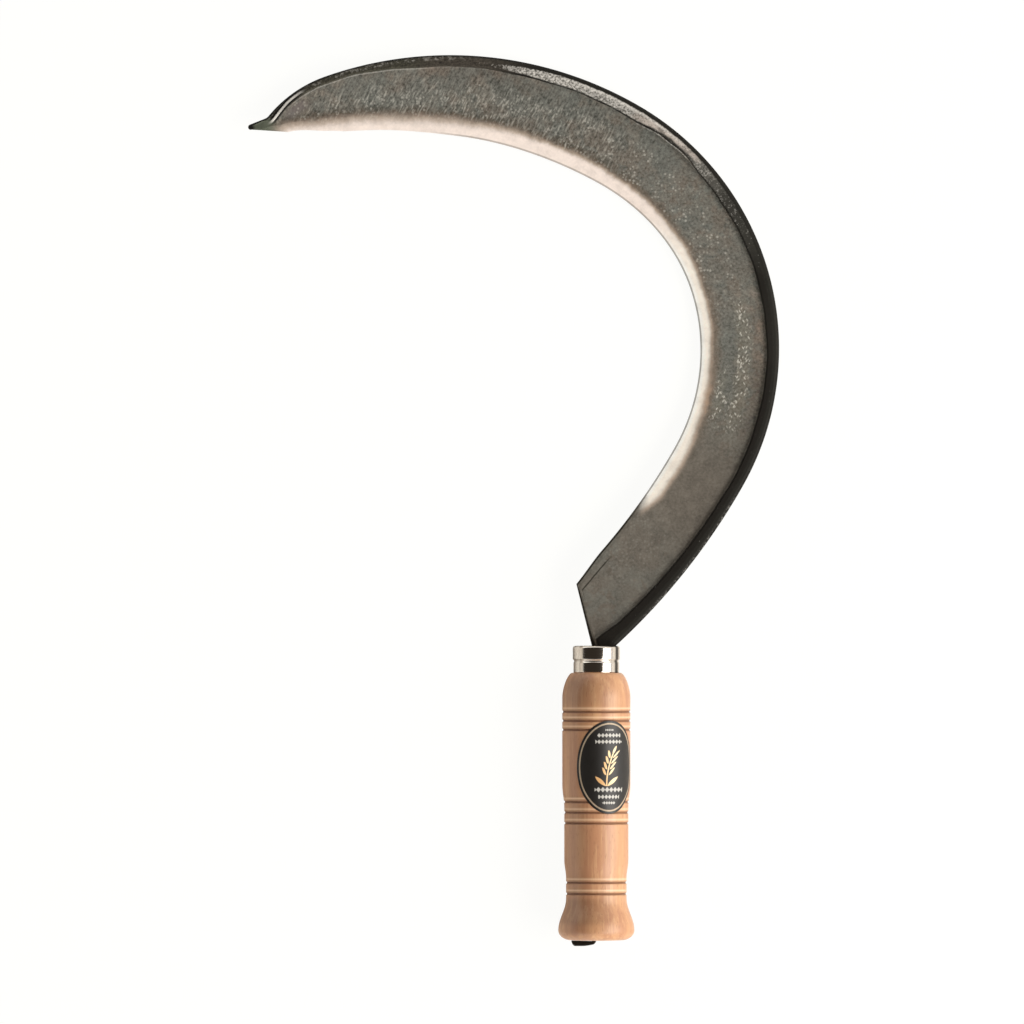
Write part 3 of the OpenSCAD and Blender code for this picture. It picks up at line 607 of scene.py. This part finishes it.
def station_rows():
    """Points on the back and on the edge of every section of the forging from the clench to the nose, the recipe of
    each section, its height scale, whether it lies in the handle and how far along it is, all as arrays."""
    tang = [
        TANG_T - TANG_CHAMFER, TANG_CHAMFER, TANG_T, TANG_T, 0,
        2 * TANG_CHAMFER, TANG_T, 0, TANG_CHAMFER, TANG_CHAMFER,
    ]
    beak = [BEAK_H * 0.6, BEAK_D * 0.2, BEAK_H * 0.9, BEAK_H * 0.95, 0, BEAK_D * 0.6, BEAK_H, 0, BEAK_D * 0.27, UNDER_R]
    tang, beak = np.array(tang), np.array(beak)

    def blade_recipe(f):
        s = f * BACK_LEN
        one = np.ones_like(f)
        uneven = np.clip((s - 70) / 30, 0, 1) * np.clip((500 - s) / 20, 0, 1)
        bevel = swept(BEVELS, f) + uneven * waver(s, [(47, 0.22, 1.0), (19, 0.13, 2.2), (7.3, 0.07, 0.4)])
        rib = swept(RIBS, f) + uneven * waver(s, [(61, 0.16, 0.3), (23, 0.1, 1.9)])
        return np.stack(
            [
                swept(EDGES, f), bevel, BEVEL_T * one, PLATE_T * one, HOLLOW * one, rib,
                swept(RIB_HEIGHTS, f), RIB_FALL * one, WALL_W * one, UNDER_R * one,
            ],
            -1,
        )

    stretches = []

    def stretch(back, edge, recipe, scale, inside, along):
        n = len(back)
        recipe = np.broadcast_to(recipe, (n, 10))
        stretches.append((back, edge, recipe, np.broadcast_to(scale, n), np.full(n, inside), np.broadcast_to(along, n)))

    bend_c = np.array([-TANG_END_W / 2 - BEND_R, BEND_R - BUTT_DOME - TANG_FIT])
    low = bend_c[1] - BEND_R - CLENCH_T
    t = np.linspace(0, 1, 32, endpoint=False) ** 1.5
    x = mix(-CLENCH_LEN, bend_c[0], t)
    blunt = np.sqrt(1 - (1 - np.clip(t / CLENCH_ROUND, 0.03, 1)) ** 2)
    edge = np.stack([x, -TANG_FIT - BUTT_DOME * t], -1)
    wane = 1 - CLENCH_WANE * np.clip((t - 0.5) / 0.5, 0, 1) ** 2
    back = np.stack([x, mix(edge[:, 1], low, blunt * wane)], -1)
    stretch(back, edge, tang, 1.0, True, -150.0 + 9 * t)
    t = np.linspace(0, 1, 12)
    d = heading(-90 * (1 - t))
    reach = BEND_R + mix(CLENCH_T * (1 - CLENCH_WANE), CLENCH_TOP_W, t)
    stretch(bend_c + reach[:, None] * d, bend_c + BEND_R * d, tang, 1.0, True, -141.0 + 7 * t)
    y = np.linspace(HANDLE_LEN / 2, HANDLE_LEN, 4)
    half = mix(TANG_END_W, TANG_W, y / HANDLE_LEN) / 2
    stretch(np.stack([half, y], -1), np.stack([-half, y], -1), tang, 1.0, True, y - MOUTH_Y)

    heel, turn = back_at(HEEL_AT)
    heel_corner = heel[0] + 36 * left_of(turn)[0]
    neck_left = np.array([NECK_OFFSET - NECK_W / 2, MOUTH_Y])
    t = np.linspace(0, 1, 24, endpoint=False)
    back, turn = back_at(HEEL_AT * t)
    edge = mix(neck_left, heel_corner, t[:, None])
    across = (edge - back) / np.linalg.norm(edge - back, axis=1)[:, None]
    slant = (left_of(turn) * across).sum(1)
    recipe = blade_recipe(np.full(24, HEEL_AT))
    recipe[:, 5] = mix(MOUTH_RIB_W, HEEL_RIB_W, t) / slant
    stretch(back[:1], edge[:1], recipe[:1], 1.0, True, 0.0)
    stretch(back[1:], edge[1:], recipe[1:], 1.0, False, HEEL_RUN * t[1:])

    f = np.linspace(HEEL_AT, 1, BLADE_STATIONS)
    back, turn = back_at(f)
    edge = back + swept(WIDTHS, f)[:, None] * left_of(turn)
    stretch(back, edge, blade_recipe(f), 1.0, False, f * BACK_LEN)

    tip, tip_turn, tip_corner = back[-1], turn[-1], edge[-1]
    aim = tip_turn - HOOK_TURN
    hook_end = tip + HOOK_R * (left_of(aim) - left_of(tip_turn))
    nose_out = hook_end + BEAK_LEN * heading(aim)
    nose_in = nose_out + BEAK_D * left_of(aim)
    nose_c = (nose_out + nose_in) / 2
    t = np.linspace(0, 1, 17)[1:]
    back = tip + HOOK_R * (left_of(tip_turn - HOOK_TURN * t) - left_of(tip_turn))
    edge = mix(tip_corner, nose_in, t[:, None] * HOOK_CLOSE)
    recipe = mix(blade_recipe(np.ones(1)), beak, t[:, None])
    stretch(back, edge, recipe, 1.0, False, BACK_LEN + 2.5 * t)
    hook_back, hook_edge = back[-1], edge[-1]
    t = np.linspace(0, 1, 18)[1:-1]
    stretch(mix(hook_back, nose_out, t[:, None]), mix(hook_edge, nose_in, t[:, None]), beak, 1.0, False, BACK_LEN + 2.5 + 8 * t)
    a = np.linspace(0, NOSE_END, 12)
    c = nose_c + BEAK_D / 2 * np.sin(np.radians(a))[:, None] * heading(aim)
    half = BEAK_D / 2 * np.cos(np.radians(a))[:, None] * left_of(aim)
    stretch(c - half, c + half, beak, mix(NOSE_LOW, 1, np.cos(np.radians(a))), False, BACK_LEN + 10.5 + a / 90)
    return [np.concatenate(column) for column in zip(*stretches)]


def ring_rows(width, recipe):
    """One section for each station, as u in from the cutting edge and w up from the underside. It runs along the flat
    underside, round a quarter circle, up the rib's wall and over a quarter ellipse, across its top, down an eased
    step, over the hollow plate to the bevel's line and down the bevel."""
    w = width[:, None]
    edge, bevel, bevel_top, plate, hollow, rib, rib_top, fall, wall, low_r = [recipe[:, k : k + 1] for k in range(10)]
    rib = np.minimum(rib, w * RIB_SHARE)
    foot = w - rib
    crest = foot + np.minimum(RIB_FOOT_W, rib * 0.25)
    wall = np.minimum(wall, rib * 0.45)
    bevel = np.minimum(bevel, foot * 0.6)
    top = rib_top - fall
    mid = mix(low_r, top, WALL_UPRIGHT)

    def steps(n):
        return np.linspace(0, 1, n, endpoint=False)[None]

    us, ws = [], []
    t = steps(UNDER_STEPS)
    us.append((w - low_r) * t)
    ws.append(0 * w * t)
    a = steps(ROUND_STEPS) * np.pi / 2
    us.append(w - low_r + low_r * np.sin(a))
    ws.append(low_r - low_r * np.cos(a))
    a = steps(WALL_STEPS) * np.pi / 2
    us.append(w - wall * (1 - np.cos(a)))
    ws.append(mid + (top - mid) * np.sin(a))
    t = steps(CREST_STEPS)
    us.append(mix(w - wall, crest, t))
    ws.append(mix(top, rib_top, t) + 0.02 * np.sin(np.pi * t))
    t = steps(STEP_STEPS)
    us.append(mix(crest, foot, t))
    ws.append(mix(rib_top, plate, (1 - np.cos(np.pi * t)) / 2))
    t = steps(PLATE_STEPS)
    us.append(mix(foot, bevel, t))
    ws.append(mix(plate, bevel_top, t) - hollow * 4 * t * (1 - t))
    t = steps(BEVEL_STEPS)
    us.append(mix(bevel, 0, t))
    ws.append(mix(bevel_top, edge, t))
    t = np.linspace(0, 1, EDGE_STEPS, endpoint=False)[None]
    us.append(0 * w * t)
    ws.append(edge * (1 - t))
    u, h = np.concatenate(us, 1), np.concatenate(ws, 1)
    return u, h, u - bevel, u - foot


def drop(points, degrees):
    """Points turned about the axis through the mouth that the blade's plane drops about."""
    pivot = np.array([0, MOUTH_Y, -TANG_T / 2])
    axis = np.array([math.cos(math.radians(LIFT_TURN)), math.sin(math.radians(LIFT_TURN)), 0])
    d = points - pivot
    part = (d @ axis)[..., None] * axis
    across = d - part
    a = math.radians(degrees)
    return pivot + part + across * math.cos(a) + np.cross(axis, across) * math.sin(a)


def blade_piece():
    """The forging: a section of changing width and height carried along the back, from the clench to the beak."""
    back, edge, recipe, scale, inside, along = station_rows()
    span = back - edge
    width = np.linalg.norm(span, axis=1)
    u, h, above, on_rib = ring_rows(width, recipe)
    flat = edge[:, None] + u[..., None] * (span / width[:, None])[:, None]
    z = h * scale[:, None] - TANG_T / 2
    points = np.concatenate([flat, z[..., None]], -1)
    points = np.where(inside[:, None, None], points, drop(points, -LIFT))
    rows, columns = u.shape
    under = np.zeros(columns)
    under[: UNDER_STEPS + 3] = 1
    under = np.broadcast_to(under, (rows, columns))

    def per_point(value):
        value = np.broadcast_to(value, (rows, columns))
        return np.concatenate([value.reshape(-1), value[:1].mean(1), value[-1:].mean(1)])

    values = {
        "along": per_point(along[:, None]),
        "inward": per_point(width[:, None] - u),
        "from_edge": per_point(u),
        "above_bevel": per_point(above),
        "on_rib": per_point(on_rib),
        "under": per_point(under),
    }
    piece = make_piece("forged_blade", placed(with_poles(points)), tube_faces(rows, columns), steel(), values, 50.0)
    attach(piece, "root")
    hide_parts("blade")
    return piece


# Colours of the wood
BEECH = rgb(203, 153, 112)
BEECH_PINK = rgb(186, 134, 100)
BEECH_PALE = rgb(217, 174, 131)
BEECH_PAINTED_SHADE = rgb(138, 96, 71)
BEECH_FLECK = rgb(138, 88, 56)
BEECH_HIGHLIGHT = rgb(246, 212, 174)
BURNISHED = rgb(98, 58, 28)
PORE = rgb(72, 40, 26)


def beech():
    """Turned beech: year rings about a pith beside the handle, streaks along it, ray flecks and burnished grooves."""
    material, g = new_material("turned_beech")
    at = g.place()
    x, y, z = g.parts(at)
    groove = g.value("groove")
    groove_highlight = g.value("groove_highlight")
    grain_place = g.turned(at, (0, 0, 0), (1, 0.06, 1))
    bent = (g.noise(grain_place, 9.0, 2.0) - 0.5) * 3.0
    pith = g.node("ShaderNodeVectorMath", {"operation": "LENGTH"}, {0: g.vector(x + 34.0, 0.0, z + 52.0)}).outputs["Value"]
    rings = g.maths("SINE", (Num(g, pith) + bent) * 1.7, 0.0) * 0.5 + 0.5
    streaks = g.noise(grain_place, 1.5, 4.0, 0.65)
    broad = g.noise(grain_place, 7.0, 3.0, 0.55)
    colour = g.blend(g.ramp(broad, 0.38, 0.64), BEECH, BEECH_PINK)
    colour = g.blend(g.ramp(streaks, 0.46, 0.66) * 0.55, colour, BEECH_PALE)
    colour = g.blend(rings * 0.22, colour, BEECH_PINK)
    # Painted shade: a soft darker stripe along the upper left of the handle.
    painted_shade_upper_left = g.band(x + (broad - 0.5) * 8, -13.0, -3.0, 4.0) * g.ramp(z, 0.0, 8.0)
    colour = g.blend(painted_shade_upper_left * 0.4, colour, BEECH_PAINTED_SHADE)
    flecks = g.spots(g.turned(at, (0, 0, 0), (1.6, 0.32, 1.6)), 1.0, 0.35, 0.42)
    colour = g.blend(flecks * 0.32, colour, BEECH_FLECK)
    pores = g.spots(g.turned(at, (0, 0, 0), (0.55, 0.2, 0.55)), 2.2, 0.035, 0.16)
    colour = g.blend(pores * 0.85, colour, PORE)
    end = g.ramp(y + HANDLE_LEN / 2, 1.2, 0.0)
    end_spots = g.spots(at, 0.55, 0.5, 0.4)
    colour = g.blend(end * end_spots * 0.35, colour, BEECH_FLECK)
    from_butt = y + HANDLE_LEN / 2
    # Painted shade: the shoulder and the flare are darker on the left side; painted light: the rim by the butt is
    # lighter.
    painted_shade_left_ends = g.greater(g.band(from_butt, 117, 131, 3), g.band(from_butt, 8, 21, 2)) * g.ramp(x, 14, -2)
    colour = g.shade(colour, 1.0 - 0.22 * painted_shade_left_ends * (0.7 + 0.6 * broad) + 0.12 * g.ramp(from_butt, 4.0, 1.5))
    # Painted highlight: a pale line just above each groove.
    colour = g.blend(groove_highlight * 0.66, colour, BEECH_HIGHLIGHT)
    colour = g.blend(groove * (0.7 + 0.3 * streaks), colour, BURNISHED)
    # Painted shade: a dark patch round the tang on the butt's end, where the slot's gap would be.
    slot_shade_x = g.ramp(g.size_of(x), TANG_END_W / 2 + 1.0, TANG_END_W / 2 + 0.1)
    slot_shade_z = g.ramp(g.size_of(z), TANG_T / 2 + 1.0, TANG_T / 2 + 0.1)
    colour = g.blend(slot_shade_x * slot_shade_z * end, colour, PORE)
    height = streaks * 0.05 - flecks * 0.03 - pores * 0.2
    g.surface(
        {
            "Base Color": colour,
            "Roughness": 0.42 + 0.16 * (streaks - 0.5) + 0.15 * groove,
            "Coat Weight": 0.18 - 0.15 * groove,
            "Coat Roughness": 0.3,
            "Normal": g.bump(height, MM),
        }
    )
    return material


def handle_piece():
    """The handle: the turned profile carried round its axis, with more rings where a groove is cut."""
    y = [FLARE_Y * (1 - np.cos(np.linspace(0, np.pi / 2, 20))), np.linspace(FLARE_Y, SHOULDER_Y, 300)]
    for at in GROOVES:
        y.append(np.linspace(at - GROOVE_R, at + GROOVE_R, 13))
    y.append(SHOULDER_Y + SHOULDER_LEN * np.sin(np.linspace(0, np.pi / 2, 24)))
    y = np.unique(np.concatenate(y).round(4))
    r = grooved_r(y)
    dome = np.linspace(0.08, 1, 12, endpoint=False)
    foot = np.stack([BUTT_R * dome, -BUTT_DOME * (1 - dome**2)], -1)
    tenon_y = np.linspace(0, FERRULE_LEN - LIP_R, 30)
    tenon = np.stack([ferrule_r(tenon_y) - FERRULE_T - FERRULE_FIT, HANDLE_LEN + tenon_y], -1)
    tenon_top = MOUTH_Y - FERRULE_T - FERRULE_FIT
    cap = np.array([[FERRULE_R - LIP_R, tenon_top], [FERRULE_R * 0.5, tenon_top], [1.0, tenon_top]])
    profile = np.concatenate([foot, np.stack([r, y], -1), tenon, cap])
    points = with_poles(revolve(profile, HANDLE_SIDES))
    height = profile[:, 1]
    groove, groove_highlight = np.zeros(len(height)), np.zeros(len(height))
    turned = (profile[:, 0] > SHOULDER_R - 1) & (height > 10)
    for at in GROOVES:
        groove = np.maximum(groove, np.clip(1.25 - np.abs(height - at) / GROOVE_R, 0, 1) * turned)
        # Painted highlight: the pale line 1.75 mm above each groove.
        groove_highlight = np.maximum(groove_highlight, np.clip(1 - np.abs(height - at - 1.75) / 0.7, 0, 1) * turned)

    def per_point(value):
        return np.concatenate([np.repeat(value, HANDLE_SIDES), [0, 0]])

    values = {"groove": per_point(groove), "groove_highlight": per_point(groove_highlight)}
    faces = tube_faces(len(profile), HANDLE_SIDES)
    piece = make_piece("turned_handle", placed(points), faces, beech(), values, 60.0)
    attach(piece, "root")
    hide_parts("handle")
    return piece


# Colours of the plating and the foil
NICKEL = rgb(222, 215, 206)
NICKEL_DULL = rgb(196, 182, 166)
NICKEL_PAINTED_DIM = rgb(150, 138, 124)
PAINTED_REFLECTION_DARK = rgb(30, 25, 20)
PAINTED_REFLECTION_TURN = 62.5
FOIL_BLACK = rgb(24, 21, 18)
FOIL_RIM = rgb(196, 176, 150)
FOIL_GOLD = rgb(226, 178, 120)
FOIL_CREAM = rgb(238, 216, 172)
FOIL_SILVER = rgb(205, 202, 194)
# Rows of small diamonds on the label: height above its centre, half length and half height, in mm
CHAIN_ROWS = [(18.6, 2.2, 0.55), (15.9, 6.2, 1.1), (12.7, 7.2, 1.1), (-11.2, 7.6, 1.3), (-14.8, 5.8, 1.1), (-17.8, 3.6, 0.8)]


def nickel():
    """Bright plate with faint rings from its polishing, dull specks, a painted dark reflection line down the right side
    and a painted dim strip on the left.
    """
    material, g = new_material("nickel_plate")
    at = g.place()
    polish = g.noise(g.turned(at, (0, 0, 0), (0.05, 1, 0.05)), 0.5, 2.0)
    cloud = g.noise(at, 4.0, 3.0, 0.6)
    specks = g.spots(at, 1.4, 0.2, 0.22)
    colour = g.blend(g.ramp(cloud, 0.5, 0.75) * 0.35 + specks * 0.3, NICKEL, NICKEL_DULL)
    x, _, z = g.parts(at)
    # Painted dim reflection: a darker strip down the ferrule's left side.
    colour = g.blend(g.band(x, -8.3, -6.6, 0.5) * 0.8, colour, NICKEL_PAINTED_DIM)
    # Painted reflection: a dark line down the ferrule's right side.
    turn = math.radians(PAINTED_REFLECTION_TURN)
    reflection_line = g.size_of(x * math.cos(turn) - z * math.sin(turn))
    colour = g.blend(g.ramp(reflection_line, 2.2, 0.9) * g.ramp(x, 0, 1) * 0.92, colour, PAINTED_REFLECTION_DARK)
    g.surface(
        {
            "Base Color": colour,
            "Metallic": 1.0,
            "Roughness": 0.09 + 0.1 * cloud + 0.06 * specks,
            "Normal": g.bump(polish * 0.004 + cloud * 0.01, MM),
        }
    )
    return material


def ferrule_piece():
    """The ferrule: a closed wall with a rolled groove and a turned-in lip, carried round the handle's axis."""
    v = np.concatenate([[0], np.linspace(ROLL_Y - ROLL_W / 2, ROLL_Y + ROLL_W / 2, 25), [FERRULE_LEN - LIP_R]])
    v = np.insert(v, 1, [0.1, 1.0, 3.0])
    outer = np.stack([ferrule_r(v), v], -1)
    outer[0, 0] -= 0.08
    lip_c = np.array([FERRULE_R - LIP_R, FERRULE_LEN - LIP_R])
    lip = lip_c + LIP_R * heading(np.linspace(0, 90, 12)[1:])
    inner_lip = lip_c + (LIP_R - FERRULE_T) * heading(np.linspace(90, 0, 8)[:-1])
    inner = np.stack([ferrule_r(v) - FERRULE_T, v], -1)[::-1]
    profile = np.concatenate([outer, lip, inner_lip, inner]) + [0, HANDLE_LEN]
    grid = revolve(profile, 220)
    rows, columns = len(profile), 220
    i, j = np.meshgrid(np.arange(rows), np.arange(columns), indexing="ij")
    k, below = (j + 1) % columns, (i + 1) % rows
    faces = np.stack([i * columns + j, i * columns + k, below * columns + k, below * columns + j], -1).reshape(-1, 4)
    piece = make_piece("plated_ferrule", placed(grid.reshape(-1, 3)), faces, nickel(), None, 50.0)
    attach(piece, "root")
    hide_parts("ferrule")
    return piece


def foil():
    """Black foil with a pale rim line and a printed ear of corn with two leaves between rows of diamonds."""
    material, g = new_material("printed_foil")
    at = g.place()
    across, up, rim = g.value("across"), g.value("up"), g.value("rim")

    def crisp(value, soft=0.1):
        return g.ramp(value, -soft, soft)

    def seed(x, y, long, wide):
        """How far in mm a place is inside a pointed oval along y, where two discs overlap."""
        r = (long * long + wide * wide) / (4 * wide)
        side = g.size_of(x) + (r - wide / 2)
        return r - g.maths("SQRT", side * side + y * y, 0.0)

    def leaning(x, y, degrees):
        """Places turned so that an axis that leans to the right by an angle lies along y."""
        a = math.radians(degrees)
        return x * math.cos(a) - y * math.sin(a), x * math.sin(a) + y * math.cos(a)

    spine = across - 0.014 * (up + 9.0) * (up + 9.0) + 1.6
    side = g.size_of(spine)
    lean, apart = 38.0, 1.75
    row, _ = leaning(side, up + 6.0, lean)
    row = row / apart + 20.0
    in_row = g.maths("FRACT", row, 0.0) * apart - apart / 2
    grains = crisp(seed(in_row, (side - 2.0) / math.sin(math.radians(lean)), 4.6, 1.25))
    grains = grains * g.ramp(row, 16.0, 16.02) * g.ramp(row, 20.0, 19.98)
    tip = crisp(seed(spine, up - 8.6, 4.2, 1.5))
    leaves = crisp(seed(*leaning(side - 3.2, up + 7.0, 50), 7.5, 1.9))
    stem = g.ramp(side, 0.42, 0.24) * g.ramp(up, -9.5, -9.3) * g.ramp(up, 7.0, 6.8)
    ear = g.greater(g.greater(grains, tip), g.greater(leaves, stem))
    rows = 0.0
    for at_up, half_long, half_high in CHAIN_ROWS:
        link = g.maths("FRACT", (across + 40.0) / (half_high * 1.7), 0.0) * (half_high * 1.7) - half_high * 0.85
        diamond = 1 - g.size_of(link) / (half_high * 0.9) - g.size_of(up - at_up) / half_high
        rows = g.greater(rows, crisp(diamond, 0.12) * g.ramp(g.size_of(across), half_long + 0.1, half_long))
    line = g.band(rim, 1.15, 1.9, 0.12)
    wear = g.noise(at, 2.2, 3.0, 0.7)
    colour = g.blend(line * (0.5 + 0.6 * wear), FOIL_BLACK, FOIL_RIM)
    colour = g.blend(ear, colour, g.blend(g.ramp(across + wear * 2, -4, 4), FOIL_GOLD, FOIL_CREAM))
    colour = g.blend(rows * 0.85, colour, FOIL_SILVER)
    metal = g.greater(line, ear)
    g.surface(
        {
            "Base Color": colour,
            "Metallic": 0.2 * metal,
            "Roughness": 0.4 + 0.15 * wear,
            "Coat Weight": 0.1 * (1 - metal),
            "Coat Roughness": 0.2,
            "Normal": g.bump(wear * 0.02 + metal * 0.02, MM),
        }
    )
    return material


def label_piece():
    """The label: an oval wrapped on the barrel. A point is at a share of the way out from its centre, across as an
    arc of the barrel and up along the handle, and the underside closes it a foil's thickness lower."""
    out = np.concatenate([np.linspace(0.04, 0.84, 14), np.linspace(0.86, 1, 12)])
    share = np.concatenate([out, out[::-1]])
    top = np.concatenate([np.ones(len(out)), np.zeros(len(out))])
    a = np.arange(180) * 2 * np.pi / 180
    across = share[:, None] * LABEL_HALF_W * np.cos(a)
    up = share[:, None] * LABEL_HALF_H * np.sin(a)
    y = LABEL_Y + up
    round_off = np.where(share > 0.995, 0.03, 0.0)
    r = wood_r(y) + LABEL_GAP + (LABEL_T * top - round_off * top)[:, None]
    turn = across / BARREL_R + math.radians(LABEL_TURN)
    grid = np.stack([r * np.sin(turn), y, r * np.cos(turn)], -1)
    reach = np.maximum(np.hypot(across / LABEL_HALF_W, up / LABEL_HALF_H), 1e-6)
    fall = np.hypot(across / LABEL_HALF_W**2, up / LABEL_HALF_H**2) / reach
    rim = (1 - reach) / fall

    def per_point(value, centre):
        return np.concatenate([value.reshape(-1), [centre, centre]])

    values = {"across": per_point(across, 0), "up": per_point(up, 0), "rim": per_point(rim, LABEL_HALF_W)}
    faces = tube_faces(len(share), 180)
    piece = make_piece("oval_label", placed(with_poles(grid)), faces, foil(), values, 50.0)
    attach(piece, "root")
    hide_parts("label")
    return piece


def floor_piece():
    """A plain pale floor that keeps the shadow and shows as the white ground of the picture."""
    material, g = new_material("studio_floor")
    mesh = bpy.data.meshes.new("studio_floor")
    half = 12.0
    mesh.from_pydata([(-half, -half, FLOOR_Z), (half, -half, FLOOR_Z), (half, half, FLOOR_Z), (-half, half, FLOOR_Z)], [], [(0, 1, 2, 3)])
    mesh.materials.append(material)
    floor = bpy.data.objects.new("studio_floor", mesh)
    bpy.context.collection.objects.link(floor)
    path = g.node("ShaderNodeLightPath")
    seen = Num(g, path.outputs["Is Camera Ray"])
    paper = g.node("ShaderNodeBsdfDiffuse", None, {"Color": rgb(248, 246, 240)}).outputs[0]
    glow = g.node("ShaderNodeEmission", None, {"Color": rgb(255, 255, 253), "Strength": 1.03}).outputs[0]
    both = g.node("ShaderNodeMixShader", None, {0: seen * 0.92, 1: paper, 2: glow}).outputs[0]
    g.node("ShaderNodeOutputMaterial", None, {0: both})


def studio():
    """Soft light: a key from the right, a world that is bright low down and dark overhead, and a white ground."""
    world = bpy.data.worlds.new("studio")
    bpy.context.scene.world = world
    g = Graph(world)
    x, y, z = g.parts(g.node("ShaderNodeTexCoord").outputs["Generated"])
    low = g.ramp(z - 0.31 * x, 0.69, 0.53)
    seen = Num(g, g.node("ShaderNodeLightPath").outputs["Is Camera Ray"])
    side = g.blend(g.ramp(x, -0.3, 0.3), (1.54, 1.51, 1.44, 1), (0.86, 0.82, 0.79, 1))
    wall_light = g.blend(low, (0.036, 0.029, 0.023, 1), side)
    room = g.node("ShaderNodeBackground", None, {"Color": wall_light, "Strength": 1.0}).outputs[0]
    white = g.node("ShaderNodeBackground", None, {"Color": (1, 1, 0.99, 1), "Strength": 1.0}).outputs[0]
    both = g.node("ShaderNodeMixShader", None, {0: seen, 1: room, 2: white}).outputs[0]
    g.node("ShaderNodeOutputWorld", None, {0: both})

    azimuth, elevation, far, wide, high = math.radians(-20), math.radians(36), 1.9, 2.2, 1.3
    lamp = bpy.data.lights.new("key_softbox", "AREA")
    lamp.shape = "RECTANGLE"
    lamp.size, lamp.size_y = wide, high
    lamp.energy = 46.0
    lamp.color = (1.0, 0.965, 0.92)
    key = bpy.data.objects.new("key_softbox", lamp)
    bpy.context.collection.objects.link(key)
    aim = np.array([VIEW_X, VIEW_Y, 0])
    way = np.array([math.cos(azimuth) * math.cos(elevation), math.sin(azimuth) * math.cos(elevation), math.sin(elevation)])
    key.location = tuple(aim + far * way)
    key.rotation_euler = (math.pi / 2 - elevation, 0, azimuth + math.pi / 2)
    key.visible_camera = False

    camera = bpy.data.objects.new("camera", bpy.data.cameras.new("camera"))
    camera.data.lens = LENS
    camera.data.sensor_width = SENSOR
    camera.data.clip_end = 100.0
    camera.location = (VIEW_X, VIEW_Y, VIEW_HEIGHT)
    bpy.context.collection.objects.link(camera)
    bpy.context.scene.camera = camera
    bpy.context.scene.view_settings.view_transform = "Standard"


blade_piece()
handle_piece()
ferrule_piece()
label_piece()
floor_piece()
studio()
